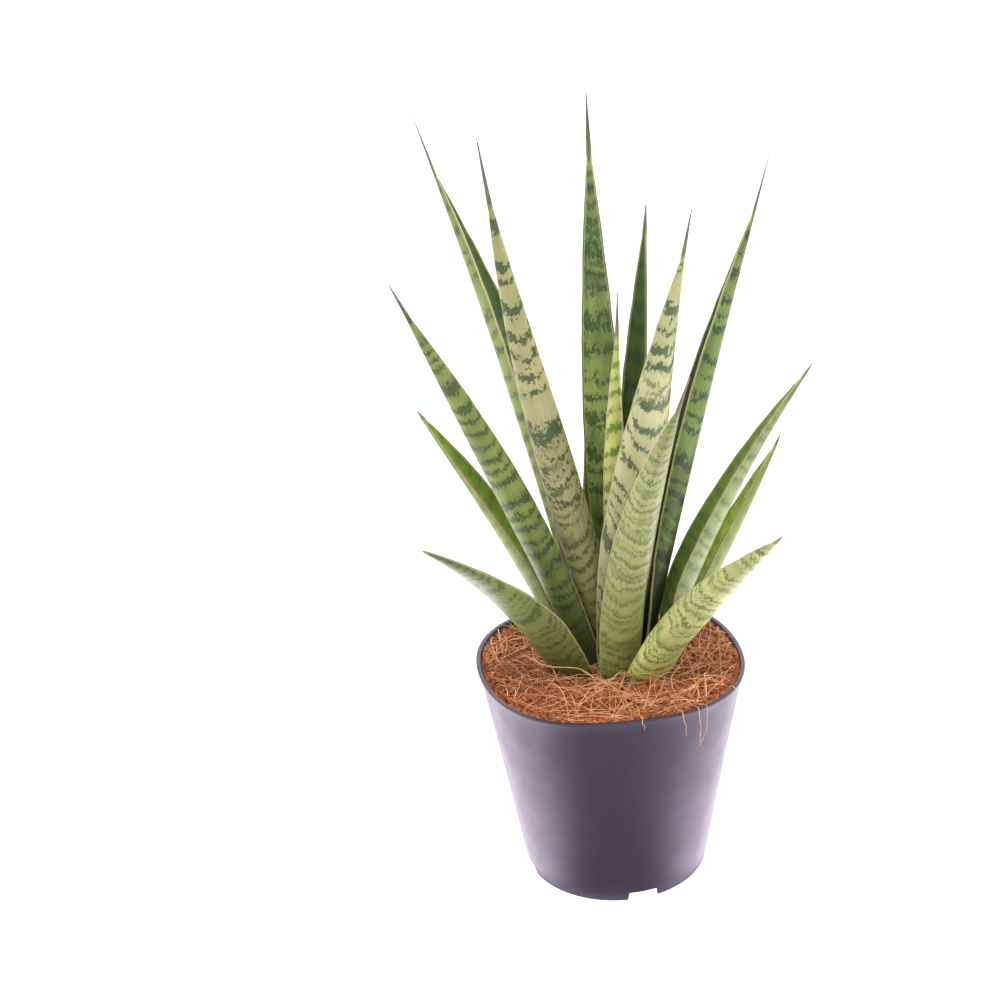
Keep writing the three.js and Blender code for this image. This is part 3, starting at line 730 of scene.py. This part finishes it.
# Fibres over the rim: azimuth from the pot's axis and how far down they reach, then how they rise over the
# coir, cross the lip and hang beside the wall
overRim = {
    "strands": ((-76, 5), (-57.5, 12), (-50, 19), (-46, 21), (-28, 4)),
    "thickness": 0.14, "spread": (0.8, 1.3), "hex": "#d8a87c",
    "backs": (15, 10, 5, 2.5), "hump": 1.4, "humpLength": 5, "clear": 0.5,
    "crossing": ((-0.5, 0.3), (1.6, -0.4)), "drops": (0.3, 0.55, 0.8, 1),
    "standOff": 2.3, "flare": 0.8, "bend": 6, "bending": 3, "wiggle": 0.6,
}

# The long pale root that bridges from the coir across the foot of the low left leaf
longRoot = {
    "route": ((-41, 14, 103), (-35.6, 6, 104.4), (-30.3, -3, 106), (-25, -10, 109.6), (-20.3, -13.8, 111.6),
              (-14.8, -15.3, 112), (-10.2, -16.2, 110), (-6.7, -19, 107), (-4.1, -26, 103.6)),
    "thickness": 0.33, "hex": "#c89a66",
}

fullTurn = 6.28  # radians, near enough for a random heading


def coirHeight(x, y):
    nearWall = math.hypot(x, y) / (pot["rimRadius"] - pot["wall"])
    rise = coir["wallRise"] * nearWall ** 4 - coir["frontRise"] * y / pot["rimRadius"]
    u = x / coir["lumpLength"]
    v = y / coir["lumpLength"]
    lumps = math.sin(u + 0.4) * math.cos(1.2 * v) + 0.6 * math.sin(1.9 * v - 0.8 * u)  # as in the model
    return coir["level"] + rise + coir["lump"] * lumps


def crumbHeight(x, y):  # the coir's top with its crumbs, from coarse to fine
    relief = 0
    for size, share in coir["crumbScales"]:
        relief += share * noise.noise(Vector((x / size, y / size, size * 5)))
    return min(coirHeight(x, y) + coir["crumbRelief"] * relief, coir["mostHeight"])


def coirEdge(height):
    return wallRadius(height) - pot["wall"] - coir["wallGap"]


def makeCoir(material):
    bottom = pot["floorHeight"] + pot["floorThickness"] + coir["wallGap"]
    edge = coirEdge(coir["level"])
    rings = [edge * (1 - i / coir["rings"]) for i in range(1, coir["rings"])]
    bm = turnOutline([
        (0, bottom),
        (coirEdge(bottom) - pot["footStep"], bottom),
        (coirEdge(coir["middle"]), coir["middle"]),
        (edge, coir["level"]),
        *[(radius, coir["level"]) for radius in rings],
        (0, coir["level"]),
    ], coir["sides"])
    for vert in bm.verts:
        if vert.co.z > coir["level"] - 0.01:
            height = crumbHeight(vert.co.x, vert.co.y)
            scale = coirEdge(height) / edge
            vert.co = Vector((vert.co.x * scale, vert.co.y * scale, height))
        vert.co = inScene(squeezed(vert.co))
    addPiece("coirBody", bm, material, "coir", ["coir"])


def fromCrown(point):
    return (point.to_2d() - Vector((crown["x"], crown["y"]))).length


def coirSpot(rng, reach):  # a random place on the coir, clear of the crown and rarer about the bare spot
    bareX, bareY = coir["bareSpot"]
    while True:
        point = polar(coirEdge(coir["level"]) * reach * math.sqrt(rng.random()), rng.uniform(0, 360), 0)
        clear = fromCrown(point) > coir["crownClear"] + coir["crownMargin"]
        covered = smooth(math.hypot(point.x - bareX, point.y - bareY), *coir["bareReach"])
        if clear and rng.random() < lerp(coir["bareShare"], 1, covered):
            return squeezed(Vector((point.x, point.y, coir["level"])))


def makeCrumbs(material):
    rng = random.Random(coir["seed"])
    bm = bmesh.new()
    for _ in range(crumb["count"]):
        spot = coirSpot(rng, crumb["reach"])
        size = rng.choice(crumb["sizes"]) * rng.uniform(*crumb["sizeSpread"])
        spot.z = crumbHeight(spot.x, spot.y) + size * crumb["raised"]
        turn = Matrix.Rotation(rng.uniform(0, fullTurn), 4, "Z")
        turn = turn @ Matrix.Rotation(rng.uniform(0, crumb["mostTilt"]), 4, "X")
        width = size * rng.uniform(*crumb["widths"])
        shape = Matrix.Diagonal((size, width, size * rng.uniform(*crumb["depths"]), 1))
        made = bmesh.ops.create_icosphere(bm, subdivisions=1, radius=1,
                                          matrix=Matrix.Translation(spot) @ turn @ shape)
        for vert in made["verts"]:
            vert.co += (vert.co - spot) * rng.uniform(-crumb["ragged"], crumb["ragged"])
    bmesh.ops.translate(bm, verts=bm.verts, vec=potAxis / mm)
    bmesh.ops.scale(bm, verts=bm.verts, vec=(mm, mm, mm))
    addPiece("coirCrumbs", bm, material, "coir", rounded=False)


def insidePot(point):
    azimuth = math.degrees(math.atan2(point.y, point.x))
    edge = squeezed(polar(coirEdge(coir["level"]), azimuth, coir["level"]))
    return point.to_2d().length < edge.to_2d().length - lay["wallClear"]


def fibreRoute(rng, kind):  # a loose curly strand, from where it starts to the wall or the crown
    spot = coirSpot(rng, lay["reach"])
    length = rng.uniform(*kind["length"])
    heading = rng.uniform(0, fullTurn)
    curl = rng.gauss(0, kind["curl"])
    lift = rng.random() ** 2 * kind["lift"]
    points = []
    x, y = spot.x, spot.y
    for i in range(lay["steps"] + 1):
        share = i / lay["steps"]
        ground = lerp(coirHeight(x, y), crumbHeight(x, y), lay["follow"])
        ripple = lay["ripple"] * abs(math.sin(lay["ripples"] * share + curl))
        point = Vector((x, y, ground + lay["above"] + lift * math.sin(math.pi * share) + ripple))
        if fromCrown(point) < coir["crownClear"] or not insidePot(point):
            break
        points.append(point)
        heading += curl + rng.gauss(0, lay["wander"])
        x += math.cos(heading) * length / lay["steps"]
        y += math.sin(heading) * length / lay["steps"]
    return points


def rimRoute(rng, azimuth, drop):  # from the coir up over the lip, then hanging beside the wall
    bend = rng.uniform(-overRim["bend"], overRim["bend"])
    lip = pot["height"] + overRim["clear"]
    over = []
    for back in overRim["backs"]:
        hump = overRim["hump"] * math.sin(back / overRim["humpLength"])
        over.append((pot["rimRadius"] - coir["wallGap"] - back, coir["mostHeight"] + hump))
    over += [(pot["rimRadius"] + out, lip + up) for out, up in overRim["crossing"]]
    for share in overRim["drops"]:
        height = lip - drop * share
        over.append((wallRadius(height) + overRim["standOff"] + overRim["flare"] * share, height))
    route = []
    for i, (radius, height) in enumerate(over):
        turn = azimuth + bend * (i / len(over) - 0.5) ** 2 * overRim["bending"]
        route.append(squeezed(polar(radius, turn + overRim["wiggle"] * math.sin(2 * i), height)))
    return route


def smoothed(points, rounds=2):  # rounds a chain's corners by cutting them
    for _ in range(rounds):
        cut = [points[0]]
        for start, end in zip(points, points[1:]):
            cut += [start.lerp(end, 0.25), start.lerp(end, 0.75)]
        points = cut + [points[-1]]
    return points


def makeStrands(name, hexCode, routes):  # routes are pairs of points and radius
    curve = bpy.data.curves.new(name, "CURVE")
    curve.dimensions = "3D"
    curve.bevel_depth = mm
    curve.bevel_resolution = 0
    curve.use_fill_caps = True
    for points, thickness in routes:
        spline = curve.splines.new("POLY")
        spline.points.add(len(points) - 1)
        for i, point in enumerate(points):
            spline.points[i].co = (*inScene(point), 1)
            spline.points[i].radius = thickness * lerp(1.0, lay["tipShare"], (i / len(points)) ** 2)
    holder = addObject(name, curve)
    mesh = finalMesh(holder)
    bpy.data.objects.remove(holder)
    bm = bmesh.new()
    bm.from_mesh(mesh)
    bpy.data.meshes.remove(mesh)
    bmesh.ops.recalc_face_normals(bm, faces=bm.faces)
    addPiece(name, bm, fibreMaterial(name, hexCode), "coir")


# Noise patterns over the coir: the grain's size each way in millimetres, and its detail
coirGrains = {"lumps": ((6, 6, 6), 3), "crumbs": ((1.6, 1.6, 1.6), 4), "bits": ((1, 1, 1), 2)}

# The coir's deep, main and pale colours, the plug's and its crumbs', and how far the crown's shade reaches
coirHexes = {
    "coconutPith": ("#3f1d0e", "#a4592f", "#cc8a5a"), "coconutPithCrumbs": ("#582913", "#ae5f30", "#d29566"),
}
crownShade = {"full": 10, "ends": 22, "hex": "#2c1a12"}


def coirMaterial(name):
    # Coconut husk pith, washed and dried: orange-brown crumbs, darker in random patches, with paler chips of
    # husk and painted shade about the leaves' crown
    material, tree = newMaterial(name)
    place = addNode(tree, "TexCoord").outputs["Object"]
    grain = addGrains(tree, place, coirGrains, roughness=0.65)
    centre = inScene(Vector((crown["x"], crown["y"], crown["level"])))
    away = addNode(tree, "VectorMath", {0: place, 1: centre}, operation="DISTANCE").outputs["Value"]
    deep, main, pale = coirHexes[name]
    body = paintOver(tree, colour(deep), [
        (grain["crumbs"], 0.36, 0.56, 1.0, main),
        (grain["lumps"], 0.6, 0.42, 0.35, deep),
        (grain["bits"], 0.58, 0.7, 0.75, pale),
        # painted shade: the coir is painted dark close about the leaves' crown
        (away, crownShade["ends"] * mm, crownShade["full"] * mm, 0.75, crownShade["hex"]),
    ])
    bump = addNode(tree, "Bump", {"Strength": 0.9, "Distance": 0.5 * mm, "Height": grain["crumbs"]})
    shader = addNode(tree, "BsdfPrincipled", {"Base Color": body, "Roughness": 0.9, "Normal": bump})
    addNode(tree, "OutputMaterial", {"Surface": shader})
    return material


def fibreMaterial(name, hexCode):
    # Coconut fibre, combed from the husk: stiff tan strands with a slight gloss, darker and lighter in turn
    material, tree = newMaterial(name)
    place = addNode(tree, "TexCoord").outputs["Object"]
    patch = addNode(tree, "TexNoise", {"Vector": place, "Scale": 1 / (4 * mm), "Detail": 3})
    tone = addNode(tree, "MapRange", {"Value": patch, "From Min": 0.3, "From Max": 0.7,
                                      "To Min": 0.55, "To Max": 1.3})
    body = addNode(tree, "Mix", {0: 1.0, 6: colour(hexCode), 7: tone}, data_type="RGBA",
                   blend_type="MULTIPLY")
    shader = addNode(tree, "BsdfPrincipled", {"Base Color": body, "Roughness": 0.5, "IOR": 1.5})
    addNode(tree, "OutputMaterial", {"Surface": shader})
    return material


makeCoir(coirMaterial("coconutPith"))
makeCrumbs(coirMaterial("coconutPithCrumbs"))
for fibreName, kind in fibreSets.items():
    fibreRng = random.Random(fibreName)
    fibreRoutes = [(fibreRoute(fibreRng, kind), fibreRng.uniform(*kind["thickness"]))
                   for _ in range(kind["count"])]
    makeStrands(fibreName, kind["hex"], [route for route in fibreRoutes if len(route[0]) > 2])
rimRng = random.Random(coir["seed"])
rimRoutes = []
for azimuth, drop in overRim["strands"]:
    rimPoints = smoothed(rimRoute(rimRng, azimuth, drop))
    rimRoutes.append((rimPoints, overRim["thickness"] * rimRng.uniform(*overRim["spread"])))
makeStrands("coirFibresOverRim", overRim["hex"], rimRoutes)
rootPoints = [Vector(point) for point in longRoot["route"]]
makeStrands("longRoot", longRoot["hex"], [(smoothed(rootPoints), longRoot["thickness"])])
print("coir made")


# Rhizome: stays as the CAD made it, hidden in the coir

rhizomeLook = {"skin": "#d8c193", "dried": "#9a7448", "patch": 4}


def rhizomeMaterial():
    # Fleshy living rhizome with a papery tan skin, blotched where the skin has dried
    material, tree = newMaterial("fleshyRhizomeSkin")
    place = addNode(tree, "TexCoord").outputs["Object"]
    scale = 1 / (rhizomeLook["patch"] * mm)
    patch = addNode(tree, "TexNoise", {"Vector": place, "Scale": scale, "Detail": 4})
    skin, dried = colour(rhizomeLook["skin"]), colour(rhizomeLook["dried"])
    body = addNode(tree, "Mix", {0: patch, 6: skin, 7: dried}, data_type="RGBA")
    bump = addNode(tree, "Bump", {"Strength": 0.4, "Distance": 0.3 * mm, "Height": patch})
    shader = addNode(tree, "BsdfPrincipled", {"Base Color": body, "Roughness": 0.7, "Normal": bump})
    addNode(tree, "OutputMaterial", {"Surface": shader})
    return material


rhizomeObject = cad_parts["rhizome"]
rhizomeObject.data.materials.clear()
rhizomeObject.data.materials.append(rhizomeMaterial())
print("rhizome dressed")


# Stage: a plain white studio, brighter at the sides and the back than behind the camera. front, ring and
# top are the world's strengths, and the table's are glowFront before and behind the pot, glowSide beside it,
# glowFar away from it and glowUnder below it. The pairs are where a change starts and ends: facing is 1 in
# front of the plant and 0 beside it, height 1 overhead and 0 level, and reach is in metres.

studio = {
    "skyHex": "#fffcf8", "front": 0.62, "ring": 4.2, "top": 1.1,
    "ringFacing": (0.75, 0.25), "ringHeight": (0.75, 0.4),
    "floorRadius": 9.0, "floorHex": "#b4b4b6", "frosting": 300, "glowHex": "#fdf3ff",
    "glowFront": 0.4, "glowSide": 4.2, "glowFacing": (0.97, 0.5), "glowFar": 0.8, "farReach": (0.32, 0.12),
    "glowUnder": 1.6, "underReach": (0.043, 0.047),
}

softbox = {"from": (0.12, -0.75, 1.9), "to": (0, 0, 0.18), "size": 0.9, "watts": 22}


def facing(tree, place):  # 1 in front of the plant, where the camera stands, 0 beside it and -1 behind it
    level = addNode(tree, "VectorMath", {0: place, 1: (1, 1, 0)}, operation="MULTIPLY")
    level = addNode(tree, "VectorMath", {0: level}, operation="NORMALIZE")
    return addNode(tree, "VectorMath", {0: level, 1: (0, -1, 0)}, operation="DOT_PRODUCT").outputs["Value"]


def graded(tree, strength, changes):
    # each change is a value, where it starts and ends, and the strength that holds before it starts
    for value, (start, end), before in changes:
        share = addNode(tree, "MapRange", {"Value": value, "From Min": start, "From Max": end},
                        interpolation_type="SMOOTHSTEP")
        strength = addNode(tree, "MapRange", {"Value": share, "To Min": before, "To Max": strength})
    return strength


def tableMaterial():
    # Opal acrylic sheet over a light table: matt white and lit from below so that it stays free of shadow,
    # brightest close beside the pot, where the pot's flanks catch its light
    material, tree = newMaterial("opalAcrylicTable")
    place = addNode(tree, "TexCoord").outputs["Object"]
    place = addNode(tree, "VectorMath", {0: place, 1: potAxis}, operation="SUBTRACT").outputs["Vector"]
    aside = addNode(tree, "Math", {0: facing(tree, place)}, operation="ABSOLUTE")
    distance = addNode(tree, "VectorMath", {0: place}, operation="LENGTH").outputs["Value"]
    glow = graded(tree, studio["glowSide"], [
        (aside, studio["glowFacing"], studio["glowFront"]),
        (distance, studio["farReach"], studio["glowFar"]),
        (distance, studio["underReach"], studio["glowUnder"]),
    ])
    frost = addNode(tree, "TexNoise", {"Vector": place, "Scale": studio["frosting"], "Detail": 2})
    bump = addNode(tree, "Bump", {"Strength": 0.02, "Distance": mm, "Height": frost})
    shader = addNode(tree, "BsdfPrincipled", {
        "Base Color": colour(studio["floorHex"]), "Roughness": 0.9, "Normal": bump,
        "Emission Color": colour(studio["glowHex"]), "Emission Strength": glow})
    addNode(tree, "OutputMaterial", {"Surface": shader})
    return material


def makeWorld():
    world = bpy.data.worlds.new("studioWorld")
    bpy.context.scene.world = world
    world.use_nodes = True
    tree = world.node_tree
    tree.nodes.clear()
    direction = addNode(tree, "TexCoord").outputs["Generated"]
    height = addNode(tree, "SeparateXYZ", {0: direction}).outputs["Z"]
    strength = graded(tree, studio["ring"], [
        (facing(tree, direction), studio["ringFacing"], studio["front"]),
        (height, studio["ringHeight"], studio["top"]),
    ])
    sky = addNode(tree, "Background", {"Color": colour(studio["skyHex"]), "Strength": strength})
    addNode(tree, "OutputWorld", {"Surface": sky})


def makeSoftbox():
    lamp = bpy.data.lights.new("topSoftbox", "AREA")
    lamp.shape = "DISK"
    lamp.size = softbox["size"]
    lamp.energy = softbox["watts"]
    holder = addObject("topSoftbox", lamp)
    holder.location = softbox["from"]
    aim = Vector(softbox["to"]) - holder.location
    holder.rotation_euler = aim.to_track_quat("-Z", "Y").to_euler()


floorMesh = bmesh.new()
bmesh.ops.create_circle(floorMesh, cap_ends=True, segments=96, radius=studio["floorRadius"])
addPiece("studioFloor", floorMesh, tableMaterial(), rounded=False)
makeWorld()
makeSoftbox()
bpy.context.scene.view_settings.view_transform = "Standard"  # keeps the white studio white
print("stage made")
